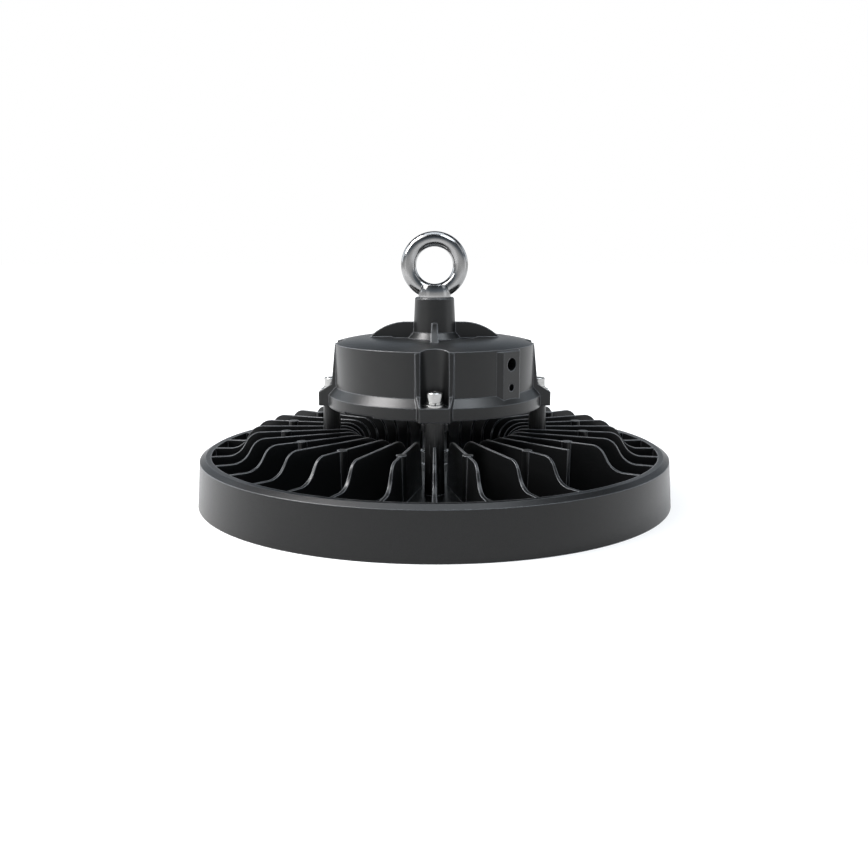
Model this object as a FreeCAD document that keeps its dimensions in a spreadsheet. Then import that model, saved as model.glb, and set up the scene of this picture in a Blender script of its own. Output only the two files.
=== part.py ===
"""High bay light: a round finned heat sink carrying a cast driver housing and a lifting eye.

Millimetres, +Z up.  The lamp's axis is Z and the lower rim of the skirt lies in Z = 0.
The front of the lamp faces -Y.  Every size lives in the sheet "dim"; angles are degrees.
"""
import FreeCAD, Part
import os
import Sketcher

SIZES = {
    # heat sink: skirt, rim and floor
    "skirt_radius": 165,
    "skirt_height": 30.9,
    "skirt_taper": 2.1,
    "skirt_wall": 3.5,
    "rim_slope_width": 4.1,
    "rim_rise": 2.4,
    "rim_lip_width": 3.7,
    "rim_inner_taper": 0.8,
    "floor_top": 18,
    "floor_thickness": 3.5,
    # heat sink: radial fins
    "fin_count": 32,
    "fin_inner_radius": 50,
    "fin_top": 49.2,
    "fin_tip_thickness": 1.5,
    "fin_root_thickness": 3.5,
    "fin_corner_radius": 14,
    "fin_fall_width": 43.5,
    "fin_shoulder_radius": 10.3,
    "fin_toe_radius": 13.5,
    "fin_slope_angle": 60,
    "short_fin_angle": -45,
    "short_fin_cut": 2.5,
    # heat sink: ejector bosses and housing posts
    "ejector_radius": 3.25,
    "ejector_setback": 17.5,
    "ejector_rise": 0.25,
    "post_radius": 5.75,
    "post_draft": 1,
    "tapped_depth": 16,
    # underside: lens, ring, seal and light chamber
    "lens_margin": 13.5,
    "lens_land": 11.5,
    "lens_thickness": 2.5,
    "lens_ridge_height": 2,
    "lens_ridge_width": 18,
    "ring_bottom": 2,
    "ring_thickness": 2.5,
    "ring_overlap": 12.5,
    "lens_seal_width": 9.5,
    "lens_seal_thickness": 1.5,
    "lens_screw_offset": 5,
    "lens_screw_count": 12,
    "lens_screw_depth": 8,
    "lens_screw_head_height": 1.6,
    # light engine
    "board_gap": 6,
    "board_thickness": 1.6,
    "board_hole_radius": 16,
    "chip_size": 3,
    "chip_height": 0.8,
    "chip_ring_inner": 40,
    "chip_margin": 10,
    "connector_length": 10,
    "connector_width": 12,
    "connector_height": 4.2,
    "connector_distance": 18,
    # screws that hold the light engine through the floor
    "floor_screw_setback_outer": 13.5,
    "floor_screw_setback_inner": 41.5,
    "floor_screw_radius": 1.5,
    "floor_screw_head_radius": 3.8,
    "floor_screw_head_height": 2.1,
    "floor_boss_radius": 5,
    "floor_boss_height": 1,
    "floor_nut_radius": 3.2,
    "floor_nut_height": 2.4,
    # driver housing: outside
    "housing_base": 65.25,
    "wall_radius": 69.1,
    "wall_top": 108.6,
    "flare_width": 4.9,
    "flare_height": 5.6,
    "band_height": 7.9,
    "eave_width": 12.1,
    "eave_rise": 2.6,
    "crown_width": 25.1,
    "crown_rise": 3.7,
    "neck_recess_radius": 29.4,
    "neck_recess_depth": 0.8,
    "neck_foot_radius": 18.2,
    "neck_foot_height": 4.3,
    "neck_root_radius": 14.7,
    "neck_top_radius": 13.55,
    "neck_height": 30.9,
    "neck_edge": 0.8,
    # driver housing: gussets on the neck
    "rib_reach": 44.9,
    "rib_height": 10.3,
    "rib_thickness": 3.7,
    "rib_draft": 3.5,
    "rib_root": 2,
    "rib_crest_radius": 21.5,
    "rib_shoulder_radius": 34.5,
    "rib_shoulder_drop": 3.2,
    # driver housing: lugs, towers and screw channels
    "screw_offset": 3.3,
    "lug_nose": 8.1,
    "lug_end_width": 19.6,
    "lug_splay": 12.5,
    "lug_height": 9.4,
    "lug_edge": 1,
    "lug_slope_height": 5.9,
    "tower_foot_lift": 2,
    "tower_top_sink": 0.8,
    "tower_drop": 0.8,
    "seat_height": 9.2,
    "channel_radius": 9,
    "channel_draft": 1.8,
    "channel_wall": 3,
    # driver housing: inlet pad, pry notch and inside
    "inlet_angle": -45,
    "inlet_pad_lift": 2.1,
    "inlet_pad_width": 15.6,
    "inlet_pad_splay": 50,
    "inlet_pad_drop": 1.2,
    "cable_hole_radius": 4.2,
    "cable_hole_height": 98.8,
    "signal_hole_radius": 2.4,
    "signal_hole_height": 83.6,
    "notch_angle": -133,
    "notch_width": 27,
    "notch_height": 1.1,
    "housing_wall": 4.2,
    "roof_thickness": 3.4,
    # base plate and its seal
    "plate_thickness": 3,
    "plate_lip": 5.8,
    "plate_seal_thickness": 1.2,
    "plate_seal_width": 4.9,
    "plate_screw_inset": 6.5,
    "plate_screw_count": 8,
    "plate_screw_radius": 2,
    "plate_screw_length": 10,
    "plate_screw_spare": 1,
    "plate_screw_head_radius": 3.8,
    "plate_boss_radius": 4,
    "plate_boss_height": 14,
    # driver and terminal block
    "driver_length": 92,
    "driver_width": 60,
    "driver_height": 20,
    "driver_lift": 6.5,
    "driver_edge": 3,
    "driver_foot_length": 8,
    "driver_foot_width": 12,
    "driver_foot_height": 3,
    "driver_screw_radius": 1.5,
    "driver_screw_head_radius": 3,
    "driver_screw_head_height": 1.8,
    "terminal_length": 30,
    "terminal_depth": 13,
    "terminal_height": 15,
    "terminal_distance": 37,
    "terminal_bore_radius": 2,
    # socket-head screws, spring washers and flat washers on the lugs
    "screw_radius": 3,
    "screw_head_radius": 5,
    "screw_head_height": 6.1,
    "screw_head_edge": 0.5,
    "screw_reach": 12,
    "screw_socket_radius": 2.9,
    "screw_socket_depth": 3,
    "spring_washer_radius": 5.5,
    "spring_washer_thickness": 1.6,
    "spring_washer_slit": 1,
    "flat_washer_radius": 7.2,
    "flat_washer_thickness": 1.6,
    # lifting eye
    "eye_ring_radius": 17.8,
    "eye_tube_radius": 5.25,
    "eye_height": 21.7,
    "eye_collar_radius": 11.1,
    "eye_collar_bulge_radius": 10.85,
    "eye_collar_bulge_height": 5.2,
    "eye_collar_top_radius": 9.8,
    "eye_collar_height": 8.5,
    "eye_shank_radius": 5,
    "eye_nut_radius": 9.2,
    "eye_nut_height": 8,
    "eye_washer_radius": 10,
    "eye_washer_thickness": 2,
    "eye_shank_spare": 2.5,
    "eye_seal_radius": 7.2,
    "eye_seal_thickness": 1.8,
    # lead glands between the housing and the light engine
    "gland_thread_radius": 8,
    "gland_bore_radius": 4.2,
    "gland_base_radius": 12.2,
    "gland_base_height": 5.1,
    "gland_nut_radius": 11.3,
    "gland_nut_height": 9.2,
    "gland_dome_radius": 9,
    "gland_dome_height": 3.7,
    "gland_stem_height": 6,
    "gland_seal_radius": 6.5,
    "lock_nut_radius": 11.2,
    "lock_nut_height": 4,
    "conduit_radius": 8.7,
    "conduit_height": 15.4,
    "upper_nut_radius": 9.3,
    "upper_nut_height": 4,
    "upper_nut_overlap": 1.6,
    "upper_neck_inset": 0.6,
    "upper_neck_height": 3,
    "upper_cone_height": 2,
    "upper_base_radius": 12,
    "lead_radius": 3.5,
    "core_radius": 0.8,
    "core_spacing": 3,
    "core_bend": 2,
    "core_clearance": 0.5,
    # clearances, and how far a cutting outline runs past what it cuts
    "thread_gap": 0.06,
    "hole_gap": 0.3,
    "drop_in_gap": 0.3,
    "overshoot": 1,
}

# The floor screws stand midway between two fins: (gap number counted from +X, which circle).
# Each one has a twin half a turn away.
FLOOR_SCREWS = ((-13.5, "outer"), (-9.5, "outer"), (-6.5, "inner"), (-4.5, "outer"))
CHIP_RING_COUNTS = (16, 24, 32, 40)
FULL_TURN = 360

doc = FreeCAD.newDocument("high_bay_light")
dim = doc.addObject("Spreadsheet::Sheet", "dim")
for row, (alias, value) in enumerate(SIZES.items(), start=1):
    dim.set(f"A{row}", alias)
    dim.set(f"B{row}", str(value))
    dim.setAlias(f"B{row}", alias)
doc.recompute()

# ---------------------------------------------------------------- sizes shared by several parts
RIM_TOP = "(dim.skirt_height + dim.rim_rise)"
RIM_INNER = "(dim.skirt_radius - dim.skirt_taper - dim.rim_slope_width - dim.rim_lip_width)"
FIN_CREST_END = "(dim.skirt_radius - dim.fin_fall_width)"
FLOOR_UNDER = "(dim.floor_top - dim.floor_thickness)"
LENS_RADIUS = "(dim.skirt_radius - dim.lens_margin)"
CHAMBER_RADIUS = f"({LENS_RADIUS} - dim.lens_land)"
LENS_SCREW_CIRCLE = f"({LENS_RADIUS} + dim.lens_screw_offset)"
BOARD_RADIUS = f"({CHAMBER_RADIUS} - dim.board_gap)"
CHIP_RING_PITCH = (f"(({BOARD_RADIUS} - dim.chip_margin - dim.chip_ring_inner)"
                   f" / {len(CHIP_RING_COUNTS) - 1})")
BOARD_UNDER = f"({FLOOR_UNDER} - dim.board_thickness)"
LENS_UNDER = "(dim.ring_bottom + dim.ring_thickness)"
LENS_TOP = f"({LENS_UNDER} + dim.lens_thickness)"
LENS_SEAT = f"({LENS_TOP} + dim.lens_seal_thickness)"
PLATE_TOP = "(dim.housing_base + dim.plate_thickness)"
PLATE_SEAT = f"({PLATE_TOP} + dim.plate_seal_thickness)"
SCREW_SEAT = "(dim.housing_base + dim.seat_height)"
FLARE_TOP = "(dim.housing_base + dim.band_height + dim.flare_height)"
CROWN_TOP = "(dim.wall_top + dim.crown_rise)"
CAVITY_RADIUS = "(dim.wall_radius - dim.housing_wall)"
BAND_RADIUS = "(dim.wall_radius + dim.flare_width)"
CROWN_RADIUS = "(dim.wall_radius - dim.crown_width)"
SCREW_CIRCLE = "(dim.wall_radius + dim.screw_offset)"
LUG_REACH = f"({SCREW_CIRCLE} + dim.lug_nose)"
CHANNEL_BACK = f"({SCREW_CIRCLE} - dim.channel_radius)"
INLET_PAD_REACH = "(dim.wall_radius + dim.inlet_pad_lift)"
PLATE_SEAT_RADIUS = f"({BAND_RADIUS} - dim.plate_lip)"
PLATE_SCREW_CIRCLE = f"({CAVITY_RADIUS} - dim.plate_screw_inset)"
CAVITY_TOP = f"({CROWN_TOP} - dim.roof_thickness)"
LEAD_END = f"({FLOOR_UNDER} - dim.lock_nut_height + dim.core_bend / 2)"
NECK_TOP = "(dim.wall_top + dim.neck_height)"
WASHER_TOP = f"({SCREW_SEAT} + dim.flat_washer_thickness)"
HEAD_SEAT = f"({WASHER_TOP} + dim.spring_washer_thickness)"
GLAND_NUT_FOOT = "(dim.floor_top + dim.gland_base_height)"
CONDUIT_FOOT = f"({GLAND_NUT_FOOT} + dim.gland_nut_height)"
CONDUIT_TOP = f"({CONDUIT_FOOT} + dim.conduit_height)"
UPPER_NUT_FOOT = f"({CONDUIT_TOP} - dim.upper_nut_overlap)"
UPPER_NUT_TOP = f"({UPPER_NUT_FOOT} + dim.upper_nut_height)"
DRIVER_UNDER = f"({PLATE_TOP} + dim.driver_lift)"
DRIVER_FOOT_X = "(dim.driver_length / 2 - dim.driver_foot_length / 2)"
DRIVER_FOOT_Y = "(dim.driver_width / 2 + dim.driver_foot_width / 4)"


# ---------------------------------------------------------------- building blocks
def new_body(name):
    body = doc.addObject("PartDesign::Body", name)
    body.Label = name
    return body


def origin_feature(body, role):
    return next(item for item in body.Origin.OriginFeatures if item.Role == role)


def new_sketch(body, name, plane="XZ_Plane", shift="0", turn="0"):
    """A sketch on an origin plane, shifted along the plane's normal.

    On XY_Plane turn swings it about Z; on XZ_Plane it swings it about Z too, so that x in the
    sketch stays a radius and y a height.
    """
    sketch = body.newObject("Sketcher::SketchObject", f"{body.Name}_{name}")
    sketch.AttachmentSupport = [(origin_feature(body, plane), "")]
    sketch.MapMode = "FlatFace"
    swing_axis = FreeCAD.Vector(0, 1, 0) if plane == "XZ_Plane" else FreeCAD.Vector(0, 0, 1)
    sketch.AttachmentOffset = FreeCAD.Placement(FreeCAD.Vector(), FreeCAD.Rotation(swing_axis, 1))
    sketch.setExpression("AttachmentOffset.Rotation.Angle", turn)
    sketch.setExpression("AttachmentOffset.Base.z", shift)
    return sketch


def place_point(sketch, geometry, position, x, y):
    """Holds one point of the sketch at (x, y), both given as expressions."""
    for kind, axis, expression in (("DistanceX", -2, x), ("DistanceY", -1, y)):
        if expression == "0":
            sketch.addConstraint(Sketcher.Constraint("PointOnObject", geometry, position, axis))
            continue
        value = sketch.evalExpression(expression)
        index = sketch.addConstraint(Sketcher.Constraint(kind, geometry, position, value))
        sketch.setExpression(f"Constraints[{index}]", expression)


def draw_edges(sketch, points, closed):
    """Lines through (x, y) expressions; a point marked "via" bends its edge to an arc."""
    places = [FreeCAD.Vector(sketch.evalExpression(p[0]), sketch.evalExpression(p[1]), 0)
              for p in points]
    corners = [i for i, point in enumerate(points) if len(point) == 2]
    following = corners[1:] + (corners[:1] if closed else [])
    ends = []
    for here, there in zip(corners, following):
        bent = (here + 1) % len(points) != there
        if bent:
            middle = places[here + 1]
            edge = sketch.addGeometry(Part.Arc(places[here], middle, places[there]))
            mark = sketch.addGeometry(Part.Point(middle), True)
            place_point(sketch, mark, 1, *points[here + 1][:2])
            sketch.addConstraint(Sketcher.Constraint("PointOnObject", mark, 1, edge))
        else:
            edge = sketch.addGeometry(Part.LineSegment(places[here], places[there]))
        starts_here = sketch.getPoint(edge, 1).distanceToPoint(places[here]) < 1e-6
        ends.append((edge, 1, 2) if starts_here else (edge, 2, 1))
    for (edge, start, _), here in zip(ends, corners):
        place_point(sketch, edge, start, *points[here])
    for (edge, _, end), (after, start, _) in zip(ends, ends[1:] + (ends[:1] if closed else [])):
        sketch.addConstraint(Sketcher.Constraint("Coincident", edge, end, after, start))
    if not closed:
        place_point(sketch, ends[-1][0], ends[-1][2], *points[-1])


def draw_outline(sketch, *points):
    draw_edges(sketch, points, closed=True)


def draw_path(sketch, *points):
    draw_edges(sketch, points, closed=False)


def draw_circle(sketch, x, y, radius):
    centre = FreeCAD.Vector(sketch.evalExpression(x), sketch.evalExpression(y), 0)
    size = sketch.evalExpression(radius)
    circle = sketch.addGeometry(Part.Circle(centre, FreeCAD.Vector(0, 0, 1), size))
    place_point(sketch, circle, 3, x, y)
    index = sketch.addConstraint(Sketcher.Constraint("Radius", circle, size))
    sketch.setExpression(f"Constraints[{index}]", radius)


def draw_box(sketch, x_low, y_low, x_high, y_high):
    draw_outline(sketch, (x_low, y_low), (x_high, y_low), (x_high, y_high), (x_low, y_high))


def draw_hexagon(sketch, x, y, radius):
    """A hexagon round (x, y) whose corners lie on the given radius."""
    corners = [(f"({x}) + ({radius}) * cos({60 * i})", f"({y}) + ({radius}) * sin({60 * i})")
               for i in range(6)]
    draw_outline(sketch, *corners)


def draw_axis(sketch, x):
    """An upright construction line at x, for turning a profile about it."""
    value = sketch.evalExpression(x)
    line = sketch.addGeometry(Part.LineSegment(FreeCAD.Vector(value, 0, 0),
                                               FreeCAD.Vector(value, 10, 0)), True)
    sketch.addConstraint(Sketcher.Constraint("Vertical", line))
    place_point(sketch, line, 1, x, "0")


def new_feature(body, kind, sketch, name):
    feature = body.newObject(f"PartDesign::{kind}", f"{body.Name}_{name}")
    feature.Profile = sketch
    return feature


def pad(body, sketch, length, midplane=False, down=False, taper="0"):
    feature = new_feature(body, "Pad", sketch, "pad")
    feature.setExpression("Length", length)
    feature.setExpression("TaperAngle", taper)
    feature.Midplane = midplane
    feature.Reversed = down
    return feature


def pocket(body, sketch, length, midplane=False, up=False, taper="0"):
    """Cuts against the sketch's normal, or along it when up is true."""
    feature = new_feature(body, "Pocket", sketch, "pocket")
    feature.setExpression("Length", length)
    feature.setExpression("TaperAngle", taper)
    feature.Midplane = midplane
    feature.Reversed = up
    return feature


def revolve(body, sketch, axis="V_Axis", kind="Revolution"):
    feature = new_feature(body, kind, sketch, "turned")
    feature.ReferenceAxis = (sketch, [axis])
    feature.Angle = FULL_TURN
    return feature


def around(body, features, count):
    """Repeats features evenly about the lamp's axis."""
    pattern = body.newObject("PartDesign::PolarPattern", f"{body.Name}_pattern")
    pattern.Originals = features
    pattern.Axis = (origin_feature(body, "Z_Axis"), [""])
    pattern.Angle = FULL_TURN
    pattern.setExpression("Occurrences", count)
    body.Tip = pattern
    return pattern


def dress(body, kind, radius, wanted):
    """Fillets or chamfers the edges of the body for which wanted(edge) is true."""
    doc.recompute()
    base = body.Tip
    names = [f"Edge{i}" for i, edge in enumerate(base.Shape.Edges, start=1) if wanted(edge)]
    feature = body.newObject(f"PartDesign::{kind}", f"{body.Name}_{kind.lower()}")
    feature.Base = (base, names)
    feature.setExpression("Radius" if kind == "Fillet" else "Size", radius)
    return feature


def turned_part(name, *points):
    """One solid of revolution about the lamp's axis."""
    body = new_body(name)
    sketch = new_sketch(body, "profile")
    draw_outline(sketch, *points)
    revolve(body, sketch)
    return body


def washer(name, inner, outer, bottom, top):
    return turned_part(name, (inner, bottom), (outer, bottom), (outer, top), (inner, top))


def turned_about(body, circle, turn, *points, kind="Revolution"):
    """Turns a profile about an upright axis at (circle, turn); x is the distance from that axis."""
    sketch = new_sketch(body, "profile", turn=turn)
    draw_outline(sketch, *[(f"({circle}) + ({p[0]})", *p[1:]) for p in points])
    draw_axis(sketch, circle)
    return revolve(body, sketch, "Axis0", kind)


def fastener_ring(name, circle, count, turn, *points):
    """Identical turned pieces on a circle round the lamp's axis, as one group of solids."""
    body = new_body(name)
    piece = turned_about(body, circle, turn, *points)
    around(body, [piece], count)
    return body


def screw_outline(shank, head, tip, seat, head_top):
    """Half section of a flat-headed screw; the tip and the head may lie either way up."""
    return (("0", tip), (shank, tip), (shank, seat), (head, seat), (head, head_top), ("0", head_top))


def floor_screw_places():
    """(circle, angle) of each floor screw that has its twin half a turn away."""
    for gap, circle in FLOOR_SCREWS:
        radius = f"({FIN_CREST_END} - dim.floor_screw_setback_{circle})"
        yield radius, f"{gap} * {FULL_TURN} / dim.fin_count"


# ---------------------------------------------------------------- heat sink
def make_heat_sink():
    body = new_body("heat_sink")

    # One drafted fin, repeated, then trimmed to the common side view by one turned cut.
    blank = new_sketch(body, "fin_section", plane="YZ_Plane", shift="dim.fin_inner_radius")
    root, tip = "dim.fin_root_thickness / 2", "dim.fin_tip_thickness / 2"
    draw_outline(blank, (f"-{root}", FLOOR_UNDER), (root, FLOOR_UNDER),
                 (tip, "dim.fin_top"), (f"-{tip}", "dim.fin_top"))
    fin_length = f"{RIM_INNER} + dim.rim_lip_width / 2 - dim.fin_inner_radius"
    around(body, [pad(body, blank, fin_length)], "dim.fin_count")

    bend = "(dim.fin_shoulder_radius + dim.fin_toe_radius)"
    fall = f"(dim.fin_top - {RIM_TOP})"
    slope = "dim.fin_slope_angle"
    straight = f"(({fall} - {bend} * (1 - cos({slope}))) / sin({slope}))"
    shoulder_end = (f"{FIN_CREST_END} + dim.fin_shoulder_radius * sin({slope})",
                    f"dim.fin_top - dim.fin_shoulder_radius * (1 - cos({slope}))")
    shoulder_via = (f"{FIN_CREST_END} + dim.fin_shoulder_radius * sin({slope} / 2)",
                    f"dim.fin_top - dim.fin_shoulder_radius * (1 - cos({slope} / 2))", "via")
    toe_end_x = f"({shoulder_end[0]} + {straight} * cos({slope}) + dim.fin_toe_radius * sin({slope}))"
    toe_start = (f"{toe_end_x} - dim.fin_toe_radius * sin({slope})",
                 f"{RIM_TOP} + dim.fin_toe_radius * (1 - cos({slope}))")
    toe_via = (f"{toe_end_x} - dim.fin_toe_radius * sin({slope} / 2)",
               f"{RIM_TOP} + dim.fin_toe_radius * (1 - cos({slope} / 2))", "via")
    corner = "dim.fin_corner_radius"
    above = "dim.fin_top + dim.overshoot"
    inside = "dim.fin_inner_radius - dim.overshoot"
    trim = new_sketch(body, "fin_trim")
    draw_outline(trim,
                 (inside, above), (inside, f"dim.fin_top - {corner}"),
                 ("dim.fin_inner_radius", f"dim.fin_top - {corner}"),
                 (f"dim.fin_inner_radius + {corner} * (1 - cos(45))",
                  f"dim.fin_top - {corner} * (1 - cos(45))", "via"),
                 (f"dim.fin_inner_radius + {corner}", "dim.fin_top"),
                 (FIN_CREST_END, "dim.fin_top"),
                 shoulder_via, shoulder_end, toe_start, toe_via,
                 (toe_end_x, RIM_TOP),
                 ("dim.skirt_radius", RIM_TOP),
                 ("dim.skirt_radius", above))
    revolve(body, trim, kind="Groove")

    # One fin stops short of the rim.
    short = new_sketch(body, "short_fin", plane="XY_Plane", shift=FLOOR_UNDER,
                       turn="dim.short_fin_angle")
    draw_box(short, f"{FIN_CREST_END} - dim.short_fin_cut", "-dim.fin_root_thickness",
             "dim.skirt_radius", "dim.fin_root_thickness")
    pocket(body, short, "dim.fin_top", up=True)

    # Skirt, rim and floor are one turned section; its underside holds the lens and the lights.
    seat_wall = f"{LENS_RADIUS} + dim.drop_in_gap"
    skirt_inner = "dim.skirt_radius - dim.skirt_wall"
    section = new_sketch(body, "dish_section")
    draw_outline(section,
                 ("0", FLOOR_UNDER), (CHAMBER_RADIUS, FLOOR_UNDER),
                 (CHAMBER_RADIUS, LENS_SEAT), (seat_wall, LENS_SEAT),
                 (seat_wall, LENS_UNDER), (skirt_inner, LENS_UNDER),
                 (skirt_inner, "0"), ("dim.skirt_radius", "0"),
                 ("dim.skirt_radius - dim.skirt_taper", "dim.skirt_height"),
                 (f"{RIM_INNER} + dim.rim_lip_width", RIM_TOP),
                 (RIM_INNER, RIM_TOP),
                 (f"{RIM_INNER} - dim.rim_inner_taper", "dim.floor_top"),
                 ("0", "dim.floor_top"))
    revolve(body, section)

    # Four drafted posts carry the housing.
    posts = new_sketch(body, "post", plane="XY_Plane", shift="dim.housing_base")
    draw_circle(posts, SCREW_CIRCLE, "0", "dim.post_radius")
    post_length = f"dim.housing_base - {FLOOR_UNDER}"
    around(body, [pad(body, posts, post_length, down=True, taper="dim.post_draft")], "4")

    # Ejector bosses stand on every second fin.
    bosses = new_sketch(body, "ejector", plane="XY_Plane", shift=FLOOR_UNDER,
                        turn=f"{FULL_TURN} / dim.fin_count")
    draw_circle(bosses, f"{FIN_CREST_END} - dim.ejector_setback", "0", "dim.ejector_radius")
    boss_length = f"dim.fin_top + dim.ejector_rise - {FLOOR_UNDER}"
    around(body, [pad(body, bosses, boss_length)], "dim.fin_count / 2")

    # Low bosses for the floor screws, and the holes through them.
    rings, holes = [], []
    for circle, turn in floor_screw_places():
        ring = new_sketch(body, "floor_boss", plane="XY_Plane", shift=FLOOR_UNDER, turn=turn)
        draw_circle(ring, circle, "0", "dim.floor_boss_radius")
        rings.append(pad(body, ring, "dim.floor_thickness + dim.floor_boss_height"))
    around(body, rings, "2")
    for circle, turn in floor_screw_places():
        hole = new_sketch(body, "floor_hole", plane="XY_Plane", shift=FLOOR_UNDER, turn=turn)
        draw_circle(hole, circle, "0", "dim.floor_screw_radius + dim.hole_gap")
        holes.append(pocket(body, hole, "dim.floor_thickness + dim.floor_boss_height", up=True))
    around(body, holes, "2")

    # Tapped holes in the posts and for the lens ring, and the gland's hole on the axis.
    taps = new_sketch(body, "post_hole", plane="XY_Plane", shift="dim.housing_base")
    draw_circle(taps, SCREW_CIRCLE, "0", "dim.screw_radius + dim.thread_gap")
    around(body, [pocket(body, taps, "dim.tapped_depth")], "4")
    ring_taps = new_sketch(body, "ring_hole", plane="XY_Plane", shift=LENS_UNDER)
    draw_circle(ring_taps, LENS_SCREW_CIRCLE, "0", "dim.plate_screw_radius + dim.thread_gap")
    ring_tap = pocket(body, ring_taps, "dim.lens_screw_depth + dim.overshoot", up=True)
    around(body, [ring_tap], "dim.lens_screw_count")
    centre = new_sketch(body, "gland_hole", plane="XY_Plane", shift=FLOOR_UNDER)
    draw_circle(centre, "0", "0", "dim.gland_thread_radius + dim.thread_gap")
    pocket(body, centre, "dim.floor_thickness", up=True)


# ---------------------------------------------------------------- driver housing
def make_driver_housing():
    body = new_body("driver_housing")

    recess_floor = f"{CROWN_TOP} - dim.neck_recess_depth"
    shell = new_sketch(body, "section")
    draw_outline(shell,
                 ("0", "dim.housing_base"), (BAND_RADIUS, "dim.housing_base"),
                 (BAND_RADIUS, "dim.housing_base + dim.band_height"),
                 ("dim.wall_radius", FLARE_TOP), ("dim.wall_radius", "dim.wall_top"),
                 ("dim.wall_radius - dim.eave_width", "dim.wall_top + dim.eave_rise", "via"),
                 (CROWN_RADIUS, CROWN_TOP),
                 ("dim.neck_recess_radius", CROWN_TOP),
                 ("dim.neck_recess_radius", recess_floor),
                 ("dim.neck_foot_radius", recess_floor),
                 ("dim.neck_root_radius", f"{recess_floor} + dim.neck_foot_height"),
                 ("dim.neck_top_radius", f"{NECK_TOP} - dim.neck_edge"),
                 ("dim.neck_top_radius - dim.neck_edge", NECK_TOP),
                 ("0", NECK_TOP))
    revolve(body, shell)

    # Lugs at the foot run up the wall as shallow towers: a splayed plan, cut back to the side view.
    plan = new_sketch(body, "lug_plan", plane="XY_Plane", shift="dim.housing_base")
    end_half = "dim.lug_end_width / 2"
    back_half = f"({end_half} + ({LUG_REACH} - {CHANNEL_BACK}) * tan(dim.lug_splay))"
    draw_outline(plan, (CHANNEL_BACK, f"-{back_half}"), (LUG_REACH, f"-{end_half}"),
                 (LUG_REACH, end_half), (CHANNEL_BACK, back_half))
    lug = pad(body, plan, "dim.wall_top - dim.tower_drop - dim.housing_base")
    lug_top = "dim.housing_base + dim.lug_height"
    tower_top = "dim.wall_radius - dim.tower_top_sink"
    side = new_sketch(body, "lug_side")
    draw_outline(side, (f"{LUG_REACH} + dim.overshoot", lug_top), (LUG_REACH, lug_top),
                 ("dim.wall_radius + dim.tower_foot_lift", f"{lug_top} + dim.lug_slope_height"),
                 (tower_top, "dim.wall_top - dim.tower_drop"), (tower_top, CROWN_TOP),
                 (f"{LUG_REACH} + dim.overshoot", CROWN_TOP))
    around(body, [lug, pocket(body, side, f"2 * {back_half}", midplane=True)], "4")

    reach = plan.evalExpression(LUG_REACH)

    def is_lug_end(edge):
        first, last = (vertex.Point for vertex in (edge.Vertexes[0], edge.Vertexes[-1]))
        upright = abs(first.x - last.x) + abs(first.y - last.y) < 1e-4
        return upright and max(abs(first.x), abs(first.y)) > reach - 1e-4

    dress(body, "Fillet", "dim.lug_edge", is_lug_end)

    # The wall carries a flat pad where the cables enter; its foot runs out on the flare.
    inlet = new_sketch(body, "inlet_pad", plane="XY_Plane", shift="dim.wall_top - dim.inlet_pad_drop",
                       turn="dim.inlet_angle")
    face_half = "dim.inlet_pad_width / 2"
    foot_half = f"({face_half} + ({INLET_PAD_REACH} - {CAVITY_RADIUS}) * tan(dim.inlet_pad_splay))"
    draw_outline(inlet, (CAVITY_RADIUS, f"-{foot_half}"), (INLET_PAD_REACH, f"-{face_half}"),
                 (INLET_PAD_REACH, face_half), (CAVITY_RADIUS, foot_half))
    pad_length = "dim.wall_top - dim.inlet_pad_drop - dim.housing_base - dim.band_height"
    pad(body, inlet, pad_length, down=True)

    # Inside: a seat for the base plate, then the driver's space under the crown.
    hollow = new_sketch(body, "hollow")
    draw_outline(hollow,
                 ("0", "dim.housing_base - dim.overshoot"),
                 (PLATE_SEAT_RADIUS, "dim.housing_base - dim.overshoot"),
                 (PLATE_SEAT_RADIUS, PLATE_SEAT), (CAVITY_RADIUS, PLATE_SEAT),
                 (CAVITY_RADIUS, "dim.wall_top - dim.roof_thickness"),
                 (CROWN_RADIUS, CAVITY_TOP), ("0", CAVITY_TOP))
    revolve(body, hollow, kind="Groove")

    # Round walls behind the screw channels, then the channels themselves.
    back = new_sketch(body, "channel_back", plane="XY_Plane", shift=PLATE_SEAT)
    back_radius = "(dim.channel_radius + dim.channel_wall)"
    flat = f"({CAVITY_RADIUS} + dim.overshoot)"
    half = f"sqrt({back_radius}^2 - ({SCREW_CIRCLE} - {flat})^2)"
    draw_outline(back, (flat, f"-{half}"), (flat, half),
                 (f"{SCREW_CIRCLE} - {back_radius}", "0", "via"))
    back_height = f"dim.wall_top - {PLATE_SEAT}"
    around(body, [pad(body, back, back_height)], "4")
    channel = new_sketch(body, "channel", plane="XY_Plane", shift=SCREW_SEAT)
    open_end = f"{LUG_REACH} + dim.overshoot"
    draw_outline(channel, (SCREW_CIRCLE, "-dim.channel_radius"),
                 (open_end, "-dim.channel_radius"), (open_end, "dim.channel_radius"),
                 (SCREW_CIRCLE, "dim.channel_radius"), (CHANNEL_BACK, "0", "via"))
    bores = new_sketch(body, "lug_bore", plane="XY_Plane", shift="dim.housing_base")
    draw_circle(bores, SCREW_CIRCLE, "0", "dim.screw_radius + dim.hole_gap")
    channel_height = f"{CROWN_TOP} - {SCREW_SEAT}"
    around(body, [pocket(body, channel, channel_height, up=True, taper="dim.channel_draft")], "4")
    around(body, [pocket(body, bores, "dim.seat_height", up=True)], "4")

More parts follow.
